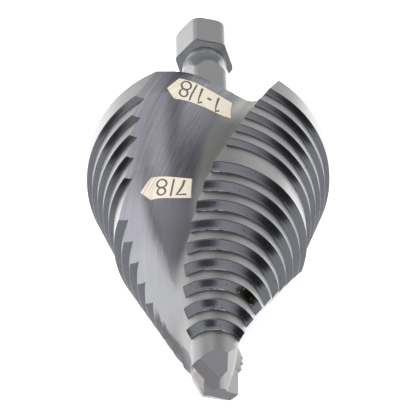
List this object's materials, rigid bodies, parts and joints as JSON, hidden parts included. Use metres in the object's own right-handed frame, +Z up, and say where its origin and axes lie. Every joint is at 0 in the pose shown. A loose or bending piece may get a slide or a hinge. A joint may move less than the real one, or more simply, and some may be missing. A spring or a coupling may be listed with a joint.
{
  "type": "step drill",
  "caption": "Spiral-fluted step drill with a split point, rising stepped lands, size marks in the flute and a hexagonal quick-change shank.",
  "frame": {"origin": "centre of the bounding box, at the level the drill rests on", "axes": "+Z up with the drill lying on its lands; the tip points to -Y and slightly down, the shank to +Y"},
  "size_m": [0.0286, 0.0819, 0.0261],
  "materials": {
    "tool_steel": "ground and lightly oxidised, satin"
  },
  "bodies": {
    "root": {"step_drill": "tool_steel"}
  },
  "joints": []
}
